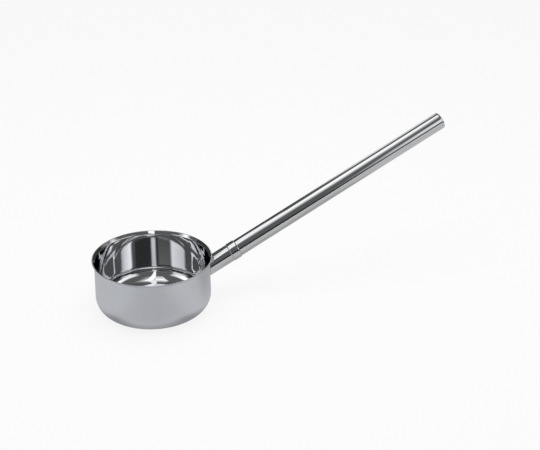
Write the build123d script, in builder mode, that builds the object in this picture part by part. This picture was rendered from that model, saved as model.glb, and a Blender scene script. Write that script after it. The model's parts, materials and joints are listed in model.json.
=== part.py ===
"""Stainless steel water dipper: a drawn cup with a straight pipe handle.

The origin is the centre of the cup's flat base. +Z is up and the handle rises
over +X. Lengths are in millimetres and angles in degrees.
"""

from build123d import *

import math
import os

os.makedirs("parts", exist_ok=True)

# Cup, drawn from one sheet. Its wall is narrowest at the crease under the lip, where
# the wall diameter is taken, and its radius grows by the spread down to the base
cup_height = 70.0
wall_diameter = 144.0
wall_spread = 1.1
cup_sheet = 1.2
base_corner_radius = 20.5
lip_height = 3.8
lip_flare = 3.5
lip_crease_radius = 0.6
lip_edge_radius = 0.4

# Line of the handle: how far below the middle of the straight wall its axis
# meets the outside of the cup, and its rise
handle_drop = 2.15
handle_tilt = 25.0

# Handle pipe
pipe_diameter = 22.2
pipe_wall = 0.5
pipe_length = 313.0

# Neck, the short tube welded to the cup, with the pipe's bore and a thicker wall
neck_wall = 0.8
neck_length = 34.1

# Weld between the neck and the cup
weld_radius = 2.0

# Spigot that runs through the ring and into both tubes
spigot_wall = 0.5
spigot_hold = 10.0

# Ring between neck and pipe
ring_length = 11.5
ring_rise = 0.6
ring_edge_radius = 0.5

# Cap pressed into the pipe's free end
cap_sheet = 0.6
cap_edge_radius = 2.5
cap_crown_angle = 8.0
cap_skirt_length = 6.0

# Fits, each on the radius or between two ends
slide_fit = 0.05
butt_gap = 0.2

# Radii from the diameters, and the height of the crease under the lip
wall_radius = wall_diameter / 2
foot_radius = wall_radius + wall_spread
rim_radius = wall_radius + lip_flare
crease_height = cup_height - lip_height
pipe_radius = pipe_diameter / 2
tube_bore_radius = pipe_radius - pipe_wall
neck_radius = tube_bore_radius + neck_wall

# Places along the handle's axis, counted from the cup's own axis
tilt = math.radians(handle_tilt)
handle_wall_height = (base_corner_radius + crease_height) / 2 - handle_drop
handle_wall_radius = foot_radius - wall_spread * handle_wall_height / crease_height
axis_foot_height = handle_wall_height - handle_wall_radius * math.tan(tilt)
wall_place = handle_wall_radius / math.cos(tilt)
neck_root = wall_place - 2 * neck_radius
neck_end = wall_place + neck_length
ring_start = neck_end + butt_gap
ring_end = ring_start + ring_length
pipe_start = ring_end + butt_gap
pipe_end = pipe_start + pipe_length

handle_plane = Plane(
    origin=(0, 0, axis_foot_height),
    x_dir=(0, 1, 0),
    z_dir=(math.cos(tilt), 0, math.sin(tilt)),
)
# Half section through the handle: X runs out along its axis and Y is the radius
section_plane = Plane(
    origin=(0, 0, axis_foot_height),
    x_dir=handle_plane.z_dir,
    z_dir=(0, -1, 0),
)
handle_axis = Axis((0, 0, axis_foot_height), handle_plane.z_dir)


# Cup: the full outer form is revolved and rounded, then hollowed to sheet
with BuildPart() as cup:
    with BuildSketch(Plane.XZ):
        with BuildLine():
            Polyline(
                (0, 0),
                (foot_radius, 0),
                (wall_radius, crease_height),
                (rim_radius, cup_height),
                (0, cup_height),
                close=True,
            )
        make_face()
    revolve(axis=Axis.Z)
    base_edge, crease_edge = cup.edges().filter_by(GeomType.CIRCLE).sort_by(Axis.Z)[:2]
    fillet(base_edge, radius=base_corner_radius)
    fillet(crease_edge, radius=lip_crease_radius)
    offset(amount=-cup_sheet, openings=cup.faces().sort_by(Axis.Z)[-1])
    fillet(cup.faces().sort_by(Axis.Z)[-1].edges(), radius=lip_edge_radius)
cup.part.label = "cup"
export_step(cup.part, "parts/cup.step")


# The cup's wall as a full form, which cuts the neck and the weld to their saddle. It
# is turned from the far side, so that its own seam stays clear of the handle
with BuildPart() as wall_form:
    with BuildSketch(Plane.XZ):
        with BuildLine():
            Polyline(
                (0, 0),
                (-foot_radius, 0),
                (-wall_radius, crease_height),
                (0, crease_height),
                close=True,
            )
        make_face()
    revolve(axis=Axis.Z)


# Neck: starts inside the cup's outline, which then cuts its end
with BuildPart() as neck_tube:
    with BuildSketch(handle_plane.offset(neck_root)):
        Circle(neck_radius)
        Circle(tube_bore_radius, mode=Mode.SUBTRACT)
    extrude(amount=neck_end - neck_root)
    add(wall_form.part, mode=Mode.SUBTRACT)
neck_tube.part.label = "neck_tube"
export_step(neck_tube.part, "parts/neck_tube.step")


# Weld: the hollow corner between a full cup and a full neck, kept without them
with BuildPart() as saddle_weld:
    for weld_step in (Mode.ADD, Mode.SUBTRACT):
        add(wall_form.part, mode=weld_step)
        with BuildSketch(handle_plane.offset(neck_root)):
            Circle(neck_radius)
        extrude(amount=neck_end - neck_root, mode=weld_step)
        if weld_step == Mode.ADD:
            saddle_seam = saddle_weld.edges().filter_by(GeomType.BSPLINE)
            fillet(saddle_seam, radius=weld_radius)
saddle_weld.part.label = "saddle_weld"
export_step(saddle_weld.part, "parts/saddle_weld.step")


# Spigot: carries the ring and holds both tubes from inside
spigot_radius = tube_bore_radius - slide_fit
with BuildPart() as joint_spigot:
    with BuildSketch(handle_plane.offset(neck_end - spigot_hold)):
        Circle(spigot_radius)
        Circle(spigot_radius - spigot_wall, mode=Mode.SUBTRACT)
    extrude(amount=pipe_start - neck_end + 2 * spigot_hold)
joint_spigot.part.label = "joint_spigot"
export_step(joint_spigot.part, "parts/joint_spigot.step")


# Ring: stands a little proud of both tubes, with rounded outer edges
with BuildPart() as joint_ring:
    with BuildSketch(handle_plane.offset(ring_start)):
        Circle(neck_radius + ring_rise)
    extrude(amount=ring_length)
    fillet(joint_ring.edges().filter_by(GeomType.CIRCLE), radius=ring_edge_radius)
    with BuildSketch(handle_plane.offset(ring_start)):
        Circle(spigot_radius + slide_fit)
    extrude(amount=ring_length, mode=Mode.SUBTRACT)
joint_ring.part.label = "joint_ring"
export_step(joint_ring.part, "parts/joint_ring.step")


# Handle pipe: one straight thin tube
with BuildPart() as handle_pipe:
    with BuildSketch(handle_plane.offset(pipe_start)):
        Circle(pipe_radius)
        Circle(tube_bore_radius, mode=Mode.SUBTRACT)
    extrude(amount=pipe_length)
handle_pipe.part.label = "handle_pipe"
export_step(handle_pipe.part, "parts/handle_pipe.step")


# End cap: a pressed cup whose skirt sits in the pipe and whose crown closes it
skirt_radius = tube_bore_radius - slide_fit
crown_edge_radius = pipe_radius - cap_edge_radius * (1 - math.sin(math.radians(cap_crown_angle)))
crown_radius = crown_edge_radius / math.sin(math.radians(cap_crown_angle))
with BuildPart() as end_cap:
    with BuildSketch(section_plane):
        with BuildLine():
            Polyline(
                (pipe_end - cap_skirt_length, 0),
                (pipe_end - cap_skirt_length, skirt_radius),
                (pipe_end, skirt_radius),
                (pipe_end, pipe_radius),
            )
            cap_edge = JernArc(
                start=(pipe_end, pipe_radius),
                tangent=(1, 0),
                radius=cap_edge_radius,
                arc_size=cap_crown_angle - 90,
            )
            cap_crown = JernArc(
                start=cap_edge @ 1,
                tangent=cap_edge % 1,
                radius=crown_radius,
                arc_size=-cap_crown_angle,
            )
            Line(cap_crown @ 1, (pipe_end - cap_skirt_length, 0))
        make_face()
    revolve(axis=handle_axis)
    with BuildSketch(handle_plane.offset(pipe_end - cap_skirt_length)):
        Circle(skirt_radius - cap_sheet)
    extrude(amount=cap_skirt_length + cap_edge_radius - cap_sheet, mode=Mode.SUBTRACT)
    cap_inner_edge = end_cap.edges().filter_by(GeomType.CIRCLE).filter_by(
        lambda edge: abs(edge.radius - skirt_radius + cap_sheet) < slide_fit
    )
    fillet(cap_inner_edge.sort_by(handle_axis)[-1], radius=cap_edge_radius - cap_sheet)
end_cap.part.label = "end_cap"
export_step(end_cap.part, "parts/end_cap.step")
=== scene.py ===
"""Dresses the steel water dipper for rendering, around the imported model.

Everything is in metres, in the row frame: the origin is the centre of the cup's
flat base, +Z is up and the handle rises over +X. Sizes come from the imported
nodes and from the handle mount of the record, and those that neither gives,
such as a sheet's thickness, are fields of the class of their piece.
"""

import json
import logging
import math
from dataclasses import dataclass, field
from enum import Enum
from typing import Any, Iterable, Sequence

import bmesh
import bpy
from mathutils import Matrix, Vector


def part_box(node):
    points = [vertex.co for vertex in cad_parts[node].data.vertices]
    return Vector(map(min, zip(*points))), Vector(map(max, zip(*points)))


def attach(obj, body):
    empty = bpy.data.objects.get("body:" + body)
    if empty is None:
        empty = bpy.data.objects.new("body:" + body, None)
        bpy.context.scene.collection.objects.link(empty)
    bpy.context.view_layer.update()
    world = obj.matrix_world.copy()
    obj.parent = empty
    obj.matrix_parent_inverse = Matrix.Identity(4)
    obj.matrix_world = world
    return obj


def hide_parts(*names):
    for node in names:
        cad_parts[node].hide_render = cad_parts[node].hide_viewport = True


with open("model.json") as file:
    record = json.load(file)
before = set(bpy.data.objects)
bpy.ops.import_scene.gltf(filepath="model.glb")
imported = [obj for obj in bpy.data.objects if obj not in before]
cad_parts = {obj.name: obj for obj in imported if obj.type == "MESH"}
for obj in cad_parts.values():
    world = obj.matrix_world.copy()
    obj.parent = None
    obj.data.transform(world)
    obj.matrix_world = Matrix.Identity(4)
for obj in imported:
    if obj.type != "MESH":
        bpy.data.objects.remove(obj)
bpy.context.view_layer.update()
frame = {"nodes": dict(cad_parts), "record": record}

LOG = logging.getLogger("dipper")
MM = 0.001
BODY = "root"
BUTT_GAP = 0.2 * MM
PIPE_WALL = 0.5 * MM
CAP_CLEARANCE = 0.02 * MM
MERGE_DISTANCE = 0.001 * MM
PHOTO_SIZE = (540, 450)
WHITE = (1.0, 1.0, 1.0, 1.0)


# Small helpers for meshes


def new_object(name: str, mesh_builder: bmesh.types.BMesh) -> bpy.types.Object:
    """Turns a finished bmesh into a smooth object that sits at the origin.

    Args:
        name: The name of the object and of its mesh.
        mesh_builder: The bmesh, which is freed here.

    Returns:
        The linked object.
    """
    for face in mesh_builder.faces:
        face.smooth = True
    mesh = bpy.data.meshes.new(name)
    mesh_builder.to_mesh(mesh)
    mesh_builder.free()
    made = bpy.data.objects.new(name, mesh)
    bpy.context.scene.collection.objects.link(made)
    return made


def wire(mesh_builder: bmesh.types.BMesh,
         points: Sequence[tuple[float, float]]) -> list[bmesh.types.BMVert]:
    """Draws an open outline in the XZ half plane as joined edges.

    Args:
        mesh_builder: The bmesh to draw in.
        points: The radius and the height of each corner.

    Returns:
        The vertices, in the order of the points.
    """
    corners = [mesh_builder.verts.new((radius, 0.0, height)) for radius, height in points]
    for start, end in zip(corners, corners[1:]):
        mesh_builder.edges.new((start, end))
    return corners


def round_corner(mesh_builder: bmesh.types.BMesh, corner: bmesh.types.BMVert,
                 radius: float, segments: int) -> None:
    """Rounds one corner of an outline to an arc.

    Args:
        mesh_builder: The bmesh that holds the outline.
        corner: The corner's vertex, which two edges meet.
        radius: The arc's radius.
        segments: The number of edges in the arc.
    """
    arms = [edge.other_vert(corner).co - corner.co for edge in corner.link_edges]
    inside = arms[0].angle(arms[1])
    reach = radius / math.tan(inside / 2)
    bmesh.ops.bevel(mesh_builder, geom=[corner], offset=reach, segments=segments,
                    profile=0.5, affect="VERTICES", material=-1)


def hold_corners(mesh_builder: bmesh.types.BMesh, guard: float = 0.25 * MM) -> None:
    """Cuts an outline's straight runs close to their ends, so that they shade straight.

    Args:
        mesh_builder: The bmesh that holds the outline.
        guard: The distance from a run's end to its cut.
    """
    shortest_run = 6 * guard
    for edge in list(mesh_builder.edges):
        if edge.calc_length() < shortest_run:
            continue
        start, end = edge.verts
        cut = bmesh.utils.edge_split(edge, start, guard / edge.calc_length())[1]
        rest = next(arm for arm in cut.link_edges if end in arm.verts)
        bmesh.utils.edge_split(rest, end, guard / rest.calc_length())


def divide_long_edges(mesh_builder: bmesh.types.BMesh, longest: float) -> None:
    """Cuts an outline's straight runs so that no edge is longer than a given length.

    Args:
        mesh_builder: The bmesh that holds the outline.
        longest: The longest edge that stays.
    """
    for edge in list(mesh_builder.edges):
        cuts = math.ceil(edge.calc_length() / longest) - 1
        if cuts > 0:
            bmesh.ops.subdivide_edges(mesh_builder, edges=[edge], cuts=cuts)


def spin_outline(mesh_builder: bmesh.types.BMesh, steps: int) -> None:
    """Turns the outline all the way round the Z axis and closes its seam and pole.

    Args:
        mesh_builder: The bmesh that holds nothing but the outline.
        steps: The number of faces round the axis.
    """
    bmesh.ops.spin(mesh_builder, geom=mesh_builder.verts[:] + mesh_builder.edges[:],
                   axis=(0.0, 0.0, 1.0), cent=(0.0, 0.0, 0.0), angle=2 * math.pi,
                   steps=steps, use_merge=True)
    bmesh.ops.remove_doubles(mesh_builder, verts=mesh_builder.verts[:], dist=MERGE_DISTANCE)
    bmesh.ops.recalc_face_normals(mesh_builder, faces=mesh_builder.faces[:])


# The handle's line


@dataclass(frozen=True)
class HandleLine:
    """The straight axis that every piece of the handle shares.

    Distances along it are counted from the cup's own axis.
    """

    foot: Vector
    direction: Vector

    @classmethod
    def from_mount(cls, mount: dict[str, Any]) -> "HandleLine":
        """Reads the line from the record's mount on the pipe.

        Args:
            mount: The mount, with a point on the axis and the axis itself.

        Returns:
            The line, with its foot on the cup's axis.
        """
        direction = Vector(mount["axis"]).normalized()
        point = Vector(mount["pos_m"])
        return cls(foot=point - direction * (point.x / direction.x), direction=direction)

    def place_of(self, point: Vector) -> float:
        """Gives the distance along the line at which a point stands."""
        return (point - self.foot).dot(self.direction)

    def end_of(self, node: str, radius: float) -> float:
        """Gives the place where a tube of the line ends, from its node's box.

        Args:
            node: The node's name, of a tube cut square at its far end.
            radius: The tube's outer radius.

        Returns:
            The distance along the line.
        """
        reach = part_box(node)[1].x
        return (reach - radius * self.direction.z) / self.direction.x

    def matrix(self, place: float = 0.0) -> Matrix:
        """Gives the transform that stands a Z-up shape on the line.

        Args:
            place: The distance along the line where the shape's Z = 0 goes.

        Returns:
            A matrix whose Z is the line and whose Y is the row's Y.
        """
        side = Vector((0.0, 1.0, 0.0))
        up = side.cross(self.direction) * -1.0
        turn = Matrix((up * -1.0, side, self.direction)).transposed().to_4x4()
        return Matrix.Translation(self.foot + self.direction * place) @ turn


# Finishes


class Shading(Enum):
    """Which way the fine lines of a polish run."""

    ROUND_CUP = "round_cup"
    ALONG_HANDLE = "along_handle"
    NONE = "none"


class NodeTree:
    """Short calls for wiring the nodes of a material or a world."""

    def __init__(self, owner: bpy.types.Material | bpy.types.World) -> None:
        """Empties the owner's node tree.

        Args:
            owner: The material or the world.
        """
        self.owner = owner
        owner.use_nodes = True
        self.nodes = owner.node_tree.nodes
        self.links = owner.node_tree.links
        self.nodes.clear()

    @classmethod
    def of_material(cls, name: str) -> "NodeTree":
        """Starts a new material of that name."""
        return cls(bpy.data.materials.new(name))

    def add(self, kind: str, **settings: Any) -> bpy.types.Node:
        """Adds a node.

        Args:
            kind: Blender's name of the node type.
            **settings: Attributes to set on it.

        Returns:
            The new node.
        """
        node = self.nodes.new(kind)
        for key, value in settings.items():
            setattr(node, key, value)
        return node

    def feed(self, source: Any, node: bpy.types.Node, socket: str | int) -> None:
        """Links an output, or sets a plain value, on a node's input.

        Args:
            source: An output socket, a number or a tuple.
            node: The node that receives it.
            socket: The input's name or number.
        """
        if isinstance(source, bpy.types.NodeSocket):
            self.links.new(source, node.inputs[socket])
        else:
            node.inputs[socket].default_value = source

    def math(self, operation: str, first: Any, second: Any = 0.0,
             third: Any = 0.0) -> bpy.types.NodeSocket:
        """Adds a math node and gives its result.

        Args:
            operation: The operation's name.
            first: The first operand.
            second: The second operand.
            third: The third operand.

        Returns:
            The output socket.
        """
        node = self.add("ShaderNodeMath", operation=operation)
        for number, value in enumerate((first, second, third)):
            self.feed(value, node, number)
        return node.outputs[0]

    def spread(self, value: Any, low: float, high: float, to_low: float,
               to_high: float) -> bpy.types.NodeSocket:
        """Maps a value from one range to another, clamped.

        Args:
            value: The value that is mapped.
            low: The start of its range.
            high: The end of its range.
            to_low: The result at the start.
            to_high: The result at the end.

        Returns:
            The output socket.
        """
        node = self.add("ShaderNodeMapRange")
        for number, item in enumerate((value, low, high, to_low, to_high)):
            self.feed(item, node, number)
        return node.outputs[0]

    def noise(self, vector: Any, scale: float, detail: float = 3.0,
              roughness: float = 0.55) -> bpy.types.NodeSocket:
        """Adds a noise texture and gives its grey value.

        Args:
            vector: The place that is read.
            scale: The texture's scale.
            detail: The number of octaves.
            roughness: The strength of the finer octaves.

        Returns:
            The output socket.
        """
        node = self.add("ShaderNodeTexNoise")
        self.feed(vector, node, "Vector")
        self.feed(scale, node, "Scale")
        self.feed(detail, node, "Detail")
        self.feed(roughness, node, "Roughness")
        return node.outputs["Fac"]

    def vector(self, across: Any, along: Any, up: Any) -> bpy.types.NodeSocket:
        """Joins three values into a vector.

        Args:
            across: The X value.
            along: The Y value.
            up: The Z value.

        Returns:
            The output socket.
        """
        node = self.add("ShaderNodeCombineXYZ")
        for number, value in enumerate((across, along, up)):
            self.feed(value, node, number)
        return node.outputs[0]

    def bump(self, height: Any, distance: float, below: Any = None) -> bpy.types.NodeSocket:
        """Adds a bump and gives the normal that it bends.

        Args:
            height: The height that is read.
            distance: The depth in metres of a height of one.
            below: The normal of a coarser bump under it.

        Returns:
            The output socket.
        """
        node = self.add("ShaderNodeBump")
        self.feed(height, node, "Height")
        self.feed(1.0, node, "Strength")
        self.feed(distance, node, "Distance")
        if below is not None:
            self.feed(below, node, "Normal")
        return node.outputs[0]

    def stretched(self, place: Any, scale: tuple[float, float, float]) -> bpy.types.NodeSocket:
        """Scales a place by axis.

        Args:
            place: The place that is read.
            scale: The factor on each axis.

        Returns:
            The output socket.
        """
        node = self.add("ShaderNodeMapping")
        self.feed(place, node, "Vector")
        self.feed(scale, node, "Scale")
        return node.outputs[0]

    def seen_directly(self) -> bpy.types.NodeSocket:
        """Gives 1 for a ray from the camera, off polished steel or through glass, else 0.

        Returns:
            The output socket.
        """
        path = self.add("ShaderNodeLightPath")
        mirrored = self.math("MAXIMUM", path.outputs["Is Glossy Ray"],
                             path.outputs["Is Transmission Ray"])
        return self.math("MAXIMUM", path.outputs["Is Camera Ray"], mirrored)

    def finish(self, shader: bpy.types.Node, kind: str = "ShaderNodeOutputMaterial") -> None:
        """Links a shader to a new output node.

        Args:
            shader: The node whose first output is shown.
            kind: Blender's name of the output node's type.
        """
        self.feed(shader.outputs[0], self.add(kind), "Surface")


@dataclass(frozen=True)
class GrainScale:
    """How often a finish's fine lines and slow patches repeat, per metre."""

    along: float = 14.0
    round_cup: float = 18.0
    across_cup: float = 2600.0
    across_handle: float = 1800.0
    plain: float = 900.0
    patches: float = 26.0


GRAIN = GrainScale()
NOISE_LOW, NOISE_HIGH = 0.3, 0.7
STREAK_SHARE = 0.6
COLOUR_SWING = 0.025


@dataclass(frozen=True)
class SteelFinish:
    """A bare steel surface with its own gloss, grain and slow waviness."""

    name: str
    colour: tuple[float, float, float]
    roughness: float
    roughness_swing: float
    grain: Shading
    grain_depth: float
    wave_depth: float
    wave_scale: float
    anisotropy: float = 0.0

    def material(self, line: HandleLine) -> bpy.types.Material:
        """Builds the finish as a node material.

        Args:
            line: The handle's axis, along which a tube's grain runs.

        Returns:
            The material.
        """
        tree = NodeTree.of_material(self.name)
        place = tree.add("ShaderNodeTexCoord").outputs["Object"]
        grain = self._grain_place(tree, place, line)
        streaks = tree.noise(grain, scale=1.0, detail=4.0, roughness=0.6)
        patches = tree.noise(place, scale=GRAIN.patches, detail=3.0, roughness=0.5)
        waves = tree.noise(place, scale=self.wave_scale, detail=2.0, roughness=0.45)

        shader = tree.add("ShaderNodeBsdfPrincipled")
        shader.inputs["Metallic"].default_value = 1.0
        shader.inputs["Anisotropic"].default_value = self.anisotropy
        tree.feed(self._colour(tree, streaks, patches), shader, "Base Color")
        swing = tree.math("ADD", tree.math("MULTIPLY", streaks, STREAK_SHARE),
                          tree.math("MULTIPLY", patches, 1.0 - STREAK_SHARE))
        rough = tree.spread(swing, NOISE_LOW, NOISE_HIGH,
                            self.roughness - self.roughness_swing,
                            self.roughness + self.roughness_swing)
        tree.feed(rough, shader, "Roughness")

        wavy = tree.bump(waves, self.wave_depth)
        tree.feed(tree.bump(streaks, self.grain_depth, wavy), shader, "Normal")
        if self.anisotropy:
            tangent = tree.add("ShaderNodeTangent", direction_type="RADIAL", axis="Z")
            tree.feed(tangent.outputs[0], shader, "Tangent")
        tree.finish(shader)
        return tree.owner

    def _colour(self, tree: NodeTree, streaks: Any, patches: Any) -> bpy.types.NodeSocket:
        """Varies the steel's colour a little along its grain and in slow patches.

        Args:
            tree: The material's nodes.
            streaks: The grain's grey value.
            patches: The patches' grey value.

        Returns:
            The output socket of the colour.
        """
        by_streak = tree.spread(streaks, NOISE_LOW, NOISE_HIGH, -COLOUR_SWING, COLOUR_SWING)
        by_patch = tree.spread(patches, NOISE_LOW, NOISE_HIGH,
                               1.0 - COLOUR_SWING, 1.0 + COLOUR_SWING)
        shade = tree.math("ADD", by_streak, by_patch)
        mix = tree.add("ShaderNodeVectorMath", operation="SCALE")
        tree.feed(self.colour, mix, 0)
        tree.feed(shade, mix, "Scale")
        return mix.outputs[0]

    def _grain_place(self, tree: NodeTree, place: Any,
                     line: HandleLine) -> bpy.types.NodeSocket:
        """Gives the place that the fine polishing lines are read at.

        Args:
            tree: The material's nodes.
            place: The object's own coordinates.
            line: The handle's axis.

        Returns:
            The output socket, stretched along the lines.
        """
        if self.grain is Shading.ROUND_CUP:
            parts = tree.add("ShaderNodeSeparateXYZ")
            tree.feed(place, parts, 0)
            across, side, up = parts.outputs
            radius = tree.math("SQRT", tree.math("ADD", tree.math("MULTIPLY", across, across),
                                                 tree.math("MULTIPLY", side, side)))
            travel = tree.math("ADD", radius, up)
            return tree.vector(tree.math("MULTIPLY", across, GRAIN.round_cup),
                               tree.math("MULTIPLY", side, GRAIN.round_cup),
                               tree.math("MULTIPLY", travel, GRAIN.across_cup))
        if self.grain is Shading.ALONG_HANDLE:
            turn = tree.add("ShaderNodeVectorRotate", rotation_type="Y_AXIS")
            tree.feed(place, turn, "Vector")
            tree.feed(tuple(line.foot), turn, "Center")
            tree.feed(math.atan2(line.direction.z, line.direction.x), turn, "Angle")
            return tree.stretched(turn.outputs[0],
                                  (GRAIN.along, GRAIN.across_handle, GRAIN.across_handle))
        return tree.stretched(place, (GRAIN.plain, GRAIN.plain, GRAIN.plain))


SATIN = SteelFinish(
    name="satin_steel", colour=(0.785, 0.81, 0.855), roughness=0.28, roughness_swing=0.05,
    grain=Shading.ROUND_CUP, grain_depth=0.0025 * MM, wave_depth=0.02 * MM, wave_scale=30.0,
    anisotropy=0.55)
MIRROR = SteelFinish(
    name="mirror_steel", colour=(0.80, 0.81, 0.825), roughness=0.045, roughness_swing=0.02,
    grain=Shading.ROUND_CUP, grain_depth=0.0002 * MM, wave_depth=0.03 * MM, wave_scale=34.0)
POLISHED = SteelFinish(
    name="polished_steel", colour=(0.77, 0.78, 0.795), roughness=0.045, roughness_swing=0.015,
    grain=Shading.ALONG_HANDLE, grain_depth=0.0003 * MM, wave_depth=0.02 * MM, wave_scale=30.0)
BEAD = SteelFinish(
    name="weld_steel", colour=(0.56, 0.565, 0.57), roughness=0.22, roughness_swing=0.06,
    grain=Shading.NONE, grain_depth=0.01 * MM, wave_depth=0.08 * MM, wave_scale=240.0)
MILL = SteelFinish(
    name="mill_steel", colour=(0.45, 0.46, 0.47), roughness=0.42, roughness_swing=0.08,
    grain=Shading.NONE, grain_depth=0.004 * MM, wave_depth=0.02 * MM, wave_scale=60.0)


# Pieces of the dipper


def dress(piece: bpy.types.Object, nodes: Iterable[str],
          materials: Iterable[bpy.types.Material]) -> bpy.types.Object:
    """Gives a finished piece its materials, its body and the nodes it stands for.

    Args:
        piece: The object.
        nodes: The CAD nodes that it replaces.
        materials: One material for each of its own slots.

    Returns:
        The same object.
    """
    for material in materials:
        piece.data.materials.append(material)
    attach(piece, BODY)
    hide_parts(*nodes)
    LOG.info("built %s: %d faces", piece.name, len(piece.data.polygons))
    return piece


@dataclass(frozen=True)
class WallCone:
    """The outside of the cup's wall, which narrows a little on its way up."""

    foot_radius: float
    slope: float

    def radius_at(self, height: float) -> float:
        """Gives the wall's radius at a height."""
        return self.foot_radius - self.slope * height

    def crossing(self, start: Vector, direction: Vector) -> float:
        """Finds where a line that starts in the cup goes out through its wall.

        Args:
            start: A point inside the wall.
            direction: The line's unit vector.

        Returns:
            The distance from the start.
        """
        radius = self.radius_at(start.z)
        fall = self.slope * direction.z
        square = direction.x ** 2 + direction.y ** 2 - fall ** 2
        half = start.x * direction.x + start.y * direction.y + fall * radius
        rest = start.x ** 2 + start.y ** 2 - radius ** 2
        return (math.sqrt(half ** 2 - square * rest) - half) / square


@dataclass
class Cup:
    """The drawn cup: satin outside, mirror inside, with a flared lip."""

    line: HandleLine
    neck_radius: float
    sheet: float = 1.2 * MM
    wall_radius: float = 72.0 * MM
    wall_spread: float = 1.1 * MM
    corner_radius: float = 20.5 * MM
    lip_height: float = 3.8 * MM
    lip_flare: float = 3.5 * MM
    crease_radius: float = 0.6 * MM
    edge_radius: float = 0.51 * MM
    steps: int = 320
    longest_edge: float = 2.4 * MM
    side_lean: float = 0.05
    down_lean: float = 0.5
    heat_depth: float = 0.10 * MM
    heat_pitch: float = 5.5 * MM
    heat_reach: float = 9.0 * MM
    height: float = field(init=False)
    crease_height: float = field(init=False)
    wall: WallCone = field(init=False)

    def __post_init__(self) -> None:
        """Reads the cup's height from its node and sets out its wall."""
        self.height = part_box("cup")[1].z
        self.crease_height = self.height - self.lip_height
        self.wall = WallCone(self.wall_radius + self.wall_spread,
                             self.wall_spread / self.crease_height)

    def build(self) -> bpy.types.Object:
        """Spins the sheet's section and adds the marks of the weld.

        Returns:
            The cup, with slot 0 outside and slot 1 inside.
        """
        shell = bmesh.new()
        self._draw_section(shell)
        spin_outline(shell, self.steps)
        for face in shell.faces:
            middle = face.calc_center_median()
            outward = face.normal.x * middle.x + face.normal.y * middle.y
            faces_out = outward > self.side_lean * middle.length
            faces_down = face.normal.z < -self.down_lean
            face.material_index = 0 if faces_out or faces_down else 1
        self._draw_in_the_weld(shell)
        return new_object("cup_shell", shell)

    def _draw_section(self, shell: bmesh.types.BMesh) -> None:
        """Draws the sheet's section, up the outside and down the inside.

        Args:
            shell: The empty bmesh to draw in.
        """
        foot = self.wall.foot_radius
        slope = self.wall.slope
        rim = self.wall_radius + self.lip_flare
        lean = self.lip_flare / self.lip_height
        wall_skin = self.sheet * math.hypot(1.0, slope)
        lip_skin = self.sheet * math.hypot(1.0, lean)
        knee = (foot - wall_skin - rim + self.height * lean + lip_skin) / (lean + slope)
        corners = wire(shell, (
            (0.0, 0.0),
            (foot, 0.0),
            (self.wall_radius, self.crease_height),
            (rim, self.height),
            (rim - lip_skin, self.height),
            (foot - slope * knee - wall_skin, knee),
            (foot - slope * self.sheet - wall_skin, self.sheet),
            (0.0, self.sheet),
        ))
        for number, radius, segments in (
                (1, self.corner_radius, 24),
                (2, self.crease_radius, 8),
                (3, self.edge_radius, 6),
                (4, self.edge_radius, 4),
                (5, self.crease_radius + self.sheet, 10),
                (6, self.corner_radius - self.sheet, 24)):
            round_corner(shell, corners[number], radius, segments)
        hold_corners(shell)
        divide_long_edges(shell, self.longest_edge)

    def _draw_in_the_weld(self, shell: bmesh.types.BMesh) -> None:
        """Leaves the rings that a weld's heat draws into the wall behind it.

        Args:
            shell: The finished shell, whose inner wall is moved.
        """
        inside = self.wall_radius - self.sheet / 2
        reach = inside / self.line.direction.x
        centre = self.line.foot + self.line.direction * reach
        for vert in shell.verts:
            depth_in_wall = self.wall.radius_at(vert.co.z) - math.hypot(vert.co.x, vert.co.y)
            on_outside = depth_in_wall < self.sheet / 2
            if vert.co.x < 0.0 or on_outside or vert.co.z > self.crease_height:
                continue
            distance = self._from_axis(vert.co, centre)
            from_ring = distance - self.neck_radius
            if abs(from_ring) < 3 * self.heat_reach:
                fade = math.exp(-(from_ring / self.heat_reach) ** 2)
                depth = self.heat_depth * math.cos(2 * math.pi * from_ring / self.heat_pitch)
                outward = Vector((vert.co.x, vert.co.y, 0.0)).normalized()
                vert.co += outward * depth * fade

    def _from_axis(self, point: Vector, centre: Vector) -> float:
        """Gives a point's distance from the handle's axis, near the wall."""
        offset = point - centre
        return (offset - self.line.direction * offset.dot(self.line.direction)).length


@dataclass
class Tube:
    """A straight round tube on the handle's line."""

    name: str
    line: HandleLine
    radius: float
    wall: float
    start: float
    length: float
    edge_radius: float = 0.12 * MM
    steps: int = 160
    longest_edge: float = 12.0 * MM

    def build(self) -> bpy.types.Object:
        """Spins the tube's wall and stands it on the line.

        Returns:
            The tube.
        """
        tube = bmesh.new()
        bore = self.radius - self.wall
        corners = wire(tube, (
            (bore, 0.0),
            (self.radius, 0.0),
            (self.radius, self.length),
            (bore, self.length),
        ))
        tube.edges.new((corners[-1], corners[0]))
        for corner in corners:
            round_corner(tube, corner, self.edge_radius, segments=3)
        hold_corners(tube)
        divide_long_edges(tube, self.longest_edge)
        spin_outline(tube, self.steps)
        bmesh.ops.transform(tube, matrix=self.line.matrix(self.start), verts=tube.verts[:])
        return new_object(self.name, tube)


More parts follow.
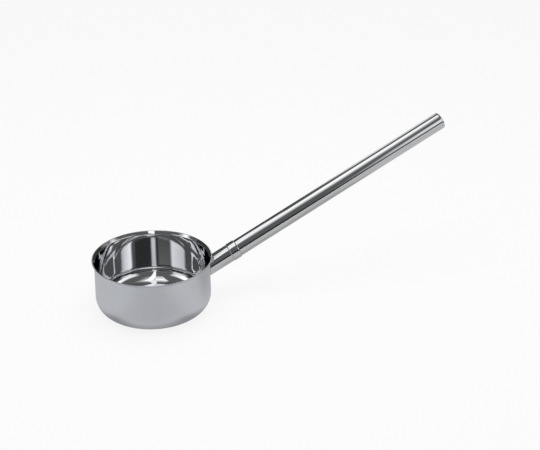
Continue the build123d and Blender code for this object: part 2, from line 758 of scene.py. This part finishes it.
@dataclass
class Neck:
    """The short tube on the cup's wall and the weld round its foot."""

    line: HandleLine
    cup_wall: WallCone
    radius: float
    end: float
    wall: float = 0.8 * MM
    weld_leg: float = 2.0 * MM
    longest_edge: float = 3.0 * MM
    steps: int = 160
    weld_steps: int = 10
    ripple: float = 0.04 * MM
    ripple_count: int = 46

    def saddle_place(self, radial: Vector, reach: float) -> float:
        """Finds where a line beside the handle's axis meets the cup's wall.

        Args:
            radial: The unit vector from the axis to the line.
            reach: The distance between the two.

        Returns:
            The distance along the axis.
        """
        return self.cup_wall.crossing(self.line.foot + radial * reach, self.line.direction)

    def build_tube(self) -> bpy.types.Object:
        """Builds the tube, whose foot is cut to the cup's wall.

        Returns:
            The tube.
        """
        nominal = self.cup_wall.crossing(self.line.foot, self.line.direction)
        length = self.end - nominal
        tube = bmesh.new()
        bore = self.radius - self.wall
        corners = wire(tube, (
            (bore, 0.0),
            (self.radius, 0.0),
            (self.radius, length),
            (bore, length),
        ))
        tube.edges.new((corners[-1], corners[0]))
        hold_corners(tube)
        divide_long_edges(tube, self.longest_edge)
        spin_outline(tube, self.steps)
        bmesh.ops.transform(tube, matrix=self.line.matrix(nominal), verts=tube.verts[:])
        for vert in tube.verts:
            place = self.line.place_of(vert.co)
            on_axis = self.line.foot + self.line.direction * place
            radial = vert.co - on_axis
            foot = self.saddle_place(radial.normalized(), radial.length)
            share = (self.end - place) / length
            vert.co += self.line.direction * (foot - nominal) * share
        return new_object("neck_tube_skin", tube)

    def build_weld(self) -> bpy.types.Object:
        """Builds the concave weld between the tube's foot and the cup's wall.

        Returns:
            The weld, a closed ring.
        """
        weld = bmesh.new()
        rows = self.weld_steps + 2
        bmesh.ops.create_grid(weld, x_segments=self.steps, y_segments=rows, size=0.5)
        for vert in weld.verts:
            around = (vert.co.x + 0.5) * 2 * math.pi
            row = round((vert.co.y + 0.5) * rows)
            vert.co = self._weld_point(around, row)
        bmesh.ops.remove_doubles(weld, verts=weld.verts[:], dist=2 * MERGE_DISTANCE)
        bmesh.ops.recalc_face_normals(weld, faces=weld.faces[:])
        return new_object("saddle_weld_bead", weld)

    def _weld_point(self, around: float, row: int) -> Vector:
        """Places one point of the weld's section.

        Args:
            around: The angle round the handle's axis.
            row: The point's number in the section, of which the first and last are the root.

        Returns:
            The point in the row frame.
        """
        radial = self.line.matrix().to_3x3() @ Vector((math.cos(around), math.sin(around), 0.0))
        if row == 0 or row == self.weld_steps + 2:
            out, lift = 0.0, 0.0
        else:
            turn = (row - 1) / self.weld_steps * math.pi / 2
            out = self.weld_leg * (1 - math.cos(turn))
            lift = self.weld_leg * (1 - math.sin(turn))
            middle = math.sin(2 * turn)
            lift += self.ripple * middle * math.sin(around * self.ripple_count)
        reach = self.radius + out
        place = self.saddle_place(radial, reach) + lift
        return self.line.foot + self.line.direction * place + radial * reach


@dataclass
class JointRing:
    """The raised ring between neck and pipe."""

    line: HandleLine
    radius: float
    start: float
    length: float
    bore: float
    edge_radius: float = 0.85 * MM
    longest_edge: float = 1.5 * MM
    steps: int = 160

    def build(self) -> bpy.types.Object:
        """Spins the ring's section and stands it on the line.

        Returns:
            The ring.
        """
        ring = bmesh.new()
        corners = wire(ring, (
            (self.bore, 0.0),
            (self.radius, 0.0),
            (self.radius, self.length),
            (self.bore, self.length),
        ))
        ring.edges.new((corners[-1], corners[0]))
        for corner in corners[1:3]:
            round_corner(ring, corner, self.edge_radius, segments=6)
        hold_corners(ring)
        divide_long_edges(ring, self.longest_edge)
        spin_outline(ring, self.steps)
        bmesh.ops.transform(ring, matrix=self.line.matrix(self.start), verts=ring.verts[:])
        return new_object("joint_ring_band", ring)


@dataclass
class EndCap:
    """The low dome that closes the pipe's free end."""

    line: HandleLine
    radius: float
    pipe_end: float
    height: float = 3.00 * MM
    edge_radius: float = 2.38 * MM
    crown_angle: float = math.radians(8.0)
    crown_share: float = 0.95
    skirt_length: float = 6.0 * MM
    skirt_radius: float = 10.5 * MM
    seam: float = 0.06 * MM
    longest_edge: float = 1.5 * MM
    steps: int = 160

    def build(self) -> bpy.types.Object:
        """Spins the cap's outline and stands it on the line.

        Returns:
            The cap.
        """
        shoulder = self.edge_radius * math.tan((math.pi / 2 - self.crown_angle) / 2) + self.seam
        knee = self.radius - (self.height - shoulder) / math.tan(self.crown_angle)
        cap = bmesh.new()
        corners = wire(cap, (
            (0.0, -self.skirt_length),
            (self.skirt_radius, -self.skirt_length),
            (self.skirt_radius, self.seam),
            (self.radius, self.seam),
            (self.radius, shoulder),
            (knee, self.height),
            (0.0, self.height),
        ))
        round_corner(cap, corners[4], self.edge_radius, segments=14)
        crown_radius = self.crown_share * knee / math.tan(self.crown_angle / 2)
        round_corner(cap, corners[5], crown_radius, segments=8)
        hold_corners(cap)
        divide_long_edges(cap, self.longest_edge)
        spin_outline(cap, self.steps)
        bmesh.ops.transform(cap, matrix=self.line.matrix(self.pipe_end), verts=cap.verts[:])
        return new_object("end_cap_dome", cap)


# The studio


@dataclass(frozen=True)
class Card:
    """A curved card round the cup that the polished steel mirrors.

    Bearings are in degrees from the camera's side, with the camera's right as
    plus, and heights are in degrees over the horizon. A card's light grows by its
    grade from its middle to its right side, falls by as much to its left, and
    fades to its edge light over the soft border.
    """

    name: str
    bearing: float
    half_width: float
    low: float
    high: float
    distance: float
    light: float
    edge_light: float = 0.1
    soft: tuple[float, float] = (2.0, 2.0)
    grade: float = 0.0

    def shade(self, side: float, lift: float) -> float:
        """Gives the card's light at a bearing and a height.

        Args:
            side: Degrees from the card's middle.
            lift: Degrees over the horizon.

        Returns:
            The strength of its glow there.
        """
        share = 1.0
        for inside, soft in ((self.half_width - abs(side), self.soft[0]),
                             (min(lift - self.low, self.high - lift), self.soft[1])):
            part = min(max(inside / soft, 0.0), 1.0)
            share *= part * part * (3.0 - 2.0 * part)
        light = self.light * (1.0 + self.grade * side / self.half_width)
        return self.edge_light + (light - self.edge_light) * share


@dataclass(frozen=True)
class Panel:
    """A flat level card over the dipper, placed in metres as the camera sees it.

    Across runs to the camera's right and toward runs to the camera, both from the
    cup's axis. The panel's light fades to its edge light over the soft border.
    """

    name: str
    across: tuple[float, float]
    toward: tuple[float, float]
    height: float
    light: float
    edge_light: float = 0.2
    soft: tuple[float, float] = (0.1, 0.1)

    def shade(self, across: float, toward: float) -> float:
        """Gives the panel's light at a place.

        Args:
            across: Metres to the camera's right.
            toward: Metres to the camera.

        Returns:
            The strength of its glow there.
        """
        share = 1.0
        for place, (low, high), soft in ((across, self.across, self.soft[0]),
                                         (toward, self.toward, self.soft[1])):
            inside = min(max(min(place - low, high - place) / soft, 0.0), 1.0)
            share *= inside * inside * (3.0 - 2.0 * inside)
        return self.edge_light + (self.light - self.edge_light) * share


@dataclass
class Studio:
    """The floor, the light and the camera."""

    bearing: float = math.radians(22.0)
    elevation: float = math.radians(26.63)
    focal_pixels: float = 1300.0
    rim_scale: float = 0.8009
    rim_pixel: tuple[float, float] = (151.95, 257.17)
    rim_height: float = 70.0 * MM
    floor_reach: float = 3.0
    floor_colour: tuple[float, float, float, float] = (0.82, 0.82, 0.82, 1.0)
    floor_glow: float = 0.86
    sky_light: float = 0.56
    sky_seen: float = 1.0
    lamp_energy: float = 9.0
    lamp_size: tuple[float, float] = (1.2, 0.9)
    lamp_place: tuple[float, float, float] = (0.1, 0.0, 1.3)
    card_centre: Vector = field(default_factory=lambda: Vector((0.0, 0.0, 0.05)))
    card_step: float = 1.5
    panel_steps: int = 48
    cards: tuple[Card, ...] = (
        Card("tent", 0.0, 180.0, -2.0, 90.0, 1.70, 0.115, 0.115),
        Card("back_strip", 178.0, 12.0, 4.0, 37.0, 1.20, 0.98, 0.12, (8.0, 9.0)),
        Card("left_box", -64.0, 29.0, 13.0, 52.0, 1.00, 1.15, 0.115, (12.0, 8.0), -0.45),
        Card("right_box", 73.0, 38.0, 13.0, 47.0, 1.22, 1.05, 0.115, (14.0, 8.0), 0.2),
        Card("low_flag", -6.6, 52.8, -2.0, 16.0, 1.29, 0.02, 0.02),
        Card("back_flag", 180.0, 75.0, -2.0, 34.0, 1.50, 0.04, 0.04),
        Card("right_fill", 130.0, 30.0, 26.5, 53.8, 1.30, 0.28, 0.115, (8.0, 8.0)),
    )
    panels: tuple[Panel, ...] = (
        Panel("over_panel", (-0.87, 0.45), (-1.60, 1.10), 1.55, 1.38, 0.16, (0.51, 1.5)),
        Panel("over_flag", (-0.17, -0.080), (-0.14, 0.30), 0.37, 0.115, 0.115),
        Panel("strip_light", (-0.016, 0.030), (-0.20, 1.05), 0.37, 1.20, 1.10, (0.008, 0.05)),
        Panel("ring_light", (-0.080, -0.012), (-0.25, -0.02), 0.368, 1.20, 0.45, (0.015, 0.03)),
        # Painted shade: the four floor cards below paint the floor as the steel mirrors it. The
        # floor is darker round the dipper, with painted shadow in front of the cup and under the
        # handle, and a darker painted contact shadow under the cup's foot.
        Panel("floor_shade_card", (-0.90, 1.10), (-0.90, 0.90), 0.0003, 0.56, 0.66, (0.4, 0.4)),
        Panel("front_floor_shade_card", (-0.11, 0.13), (0.04, 0.40), 0.0006, 0.48, 0.57, (0.06, 0.08)),
        Panel("side_floor_shade_card", (0.08, 0.40), (-0.22, 0.03), 0.0007, 0.42, 0.56, (0.05, 0.05)),
        Panel("foot_shadow_card", (-0.085, 0.085), (-0.085, 0.085), 0.0009, 0.30, 0.52, (0.03, 0.03)),
    )

    def look(self) -> Vector:
        """Gives the camera's line of sight.

        Returns:
            A unit vector, which points from the camera to the scene.
        """
        flat = math.cos(self.elevation)
        return Vector((math.sin(self.bearing) * flat, math.cos(self.bearing) * flat,
                       -math.sin(self.elevation)))

    def add_camera(self) -> None:
        """Stands the camera where the rim's centre falls on its pixel."""
        look = self.look()
        right = look.cross(Vector((0.0, 0.0, 1.0))).normalized()
        up = right.cross(look)
        distance = self.focal_pixels / self.rim_scale * MM
        across = (self.rim_pixel[0] - PHOTO_SIZE[0] / 2) / self.focal_pixels
        above = (PHOTO_SIZE[1] / 2 - self.rim_pixel[1]) / self.focal_pixels
        rim = Vector((0.0, 0.0, self.rim_height))
        spot = rim - distance * (look + right * across + up * above)
        data = bpy.data.cameras.new("photo_camera")
        data.sensor_fit = "HORIZONTAL"
        data.sensor_width = 36.0
        data.lens = self.focal_pixels / PHOTO_SIZE[0] * data.sensor_width
        data.clip_start = 0.01
        camera = bpy.data.objects.new("photo_camera", data)
        turn = Matrix((right, up, look * -1.0)).transposed().to_4x4()
        camera.matrix_world = Matrix.Translation(spot) @ turn
        bpy.context.scene.collection.objects.link(camera)
        bpy.context.scene.camera = camera

    def add_cards(self) -> None:
        """Stands the cards that give the steel its light and dark reflections."""
        for card in self.cards:
            self._add_card(card)
        for panel in self.panels:
            self._add_panel(panel)

    def _add_card(self, card: Card) -> None:
        """Builds one card as a patch of a sphere round the cup.

        Args:
            card: The card's place, size and light.
        """
        sheet = bmesh.new()
        columns = math.ceil(2 * card.half_width / self.card_step)
        rows = math.ceil((card.high - card.low) / self.card_step)
        bmesh.ops.create_grid(sheet, x_segments=columns, y_segments=rows, size=0.5)
        shades = []
        for vert in sheet.verts:
            side = 2 * card.half_width * vert.co.x
            lift = card.low + (card.high - card.low) * (vert.co.y + 0.5)
            shades.append(card.shade(side, lift))
            direction = self._direction(math.radians(card.bearing + side), math.radians(lift))
            vert.co = self.card_centre + direction * card.distance
        self._light_up(card.name, sheet, shades)

    def _add_panel(self, panel: Panel) -> None:
        """Builds one level panel.

        Args:
            panel: The panel's place, size and light.
        """
        sheet = bmesh.new()
        bmesh.ops.create_grid(sheet, x_segments=self.panel_steps,
                              y_segments=self.panel_steps, size=0.5)
        right = self._direction(math.pi / 2, 0.0)
        front = self._direction(0.0, 0.0)
        shades = []
        for vert in sheet.verts:
            across = panel.across[0] + (panel.across[1] - panel.across[0]) * (vert.co.x + 0.5)
            toward = panel.toward[0] + (panel.toward[1] - panel.toward[0]) * (vert.co.y + 0.5)
            shades.append(panel.shade(across, toward))
            vert.co = right * across + front * toward + Vector((0.0, 0.0, panel.height))
        self._light_up(panel.name, sheet, shades)

    def _light_up(self, name: str, sheet: bmesh.types.BMesh, shades: list[float]) -> None:
        """Makes a glowing card that nothing but the steel's reflections sees.

        Args:
            name: The card's name.
            sheet: The card's mesh, which is freed here.
            shades: The strength of the glow at each vertex.
        """
        made = new_object(name, sheet)
        layer = made.data.attributes.new("light", "FLOAT", "POINT")
        layer.data.foreach_set("value", shades)
        tree = NodeTree.of_material(name)
        light = tree.add("ShaderNodeAttribute", attribute_name="light")
        glow = tree.add("ShaderNodeEmission")
        tree.feed(light.outputs["Fac"], glow, "Strength")
        tree.finish(glow)
        made.data.materials.append(tree.owner)
        made.visible_camera = False
        made.visible_diffuse = False
        made.visible_shadow = False

    def _direction(self, side: float, lift: float) -> Vector:
        """Gives the direction at a bearing from the camera's side and an elevation.

        Args:
            side: The bearing in radians, with the camera's right as plus.
            lift: The elevation in radians.

        Returns:
            A unit vector.
        """
        back = self.look() * -1.0
        toward = math.atan2(back.y, back.x) + side
        return Vector((math.cos(toward) * math.cos(lift), math.sin(toward) * math.cos(lift),
                       math.sin(lift)))

    def add_floor(self) -> None:
        """Lays the pale floor."""
        sheet = bmesh.new()
        bmesh.ops.create_grid(sheet, x_segments=1, y_segments=1, size=self.floor_reach)
        floor = new_object("floor", sheet)
        tree = NodeTree.of_material("pale_floor")
        matte = tree.add("ShaderNodeBsdfDiffuse")
        tree.feed(self.floor_colour, matte, "Color")
        glow = tree.add("ShaderNodeEmission")
        tree.feed(WHITE, glow, "Color")
        tree.feed(1.0, glow, "Strength")
        mix = tree.add("ShaderNodeMixShader")
        tree.feed(tree.math("MULTIPLY", tree.seen_directly(), self.floor_glow), mix, 0)
        tree.feed(matte.outputs[0], mix, 1)
        tree.feed(glow.outputs[0], mix, 2)
        tree.finish(mix)
        floor.data.materials.append(tree.owner)

    def add_light(self) -> None:
        """Sets the white world and the soft lamp overhead."""
        world = bpy.data.worlds.new("studio")
        bpy.context.scene.world = world
        tree = NodeTree(world)
        sky = tree.add("ShaderNodeBackground")
        tree.feed(WHITE, sky, "Color")
        strength = tree.spread(tree.seen_directly(), 0.0, 1.0, self.sky_light, self.sky_seen)
        tree.feed(strength, sky, "Strength")
        tree.finish(sky, "ShaderNodeOutputWorld")
        lamp = bpy.data.lights.new("overhead", "AREA")
        lamp.shape = "RECTANGLE"
        lamp.size, lamp.size_y = self.lamp_size
        lamp.energy = self.lamp_energy
        holder = bpy.data.objects.new("overhead", lamp)
        holder.location = self.lamp_place
        holder.visible_glossy = False
        bpy.context.scene.collection.objects.link(holder)


def main() -> None:
    """Builds the dipper piece by piece, then the studio round it."""
    logging.basicConfig(level=logging.INFO, format="%(name)s: %(message)s")
    bpy.context.scene.view_settings.view_transform = "Standard"
    record = frame["record"]
    mount = next(item for item in record["mounts"] if item["name"] == "handle_pipe_outside")
    line = HandleLine.from_mount(mount)
    pipe_radius = mount["dims"]["r_mm"] * MM
    pipe_length = mount["dims"]["length_mm"] * MM
    pipe_start = line.place_of(Vector(mount["pos_m"])) - pipe_length / 2
    neck_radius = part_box("neck_tube")[1].y
    neck_end = line.end_of("neck_tube", neck_radius)
    ring_start = neck_end + BUTT_GAP

    finishes = {finish.name: finish.material(line)
                for finish in (SATIN, MIRROR, POLISHED, BEAD, MILL)}
    polished = finishes["polished_steel"]

    cup = Cup(line=line, neck_radius=neck_radius)
    dress(cup.build(), ["cup"], [finishes["satin_steel"], finishes["mirror_steel"]])
    neck = Neck(line=line, cup_wall=cup.wall, radius=neck_radius, end=neck_end)
    dress(neck.build_tube(), ["neck_tube"], [polished])
    dress(neck.build_weld(), ["saddle_weld"], [finishes["weld_steel"]])
    ring = JointRing(line=line, radius=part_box("joint_ring")[1].y, start=ring_start,
                     length=pipe_start - BUTT_GAP - ring_start,
                     bore=pipe_radius - PIPE_WALL)
    dress(ring.build(), ["joint_ring"], [polished])
    pipe = Tube(name="handle_pipe_skin", line=line, radius=pipe_radius, wall=PIPE_WALL,
                start=pipe_start, length=pipe_length)
    dress(pipe.build(), ["handle_pipe"], [polished])
    cap = EndCap(line=line, radius=pipe_radius - CAP_CLEARANCE,
                 pipe_end=pipe_start + pipe_length)
    dress(cap.build(), ["end_cap"], [polished])
    spigot = frame["nodes"]["joint_spigot"]
    spigot.data.materials.clear()
    spigot.data.materials.append(finishes["mill_steel"])

    studio = Studio()
    studio.add_camera()
    studio.add_floor()
    studio.add_light()
    studio.add_cards()


if __name__ == "__main__":
    main()
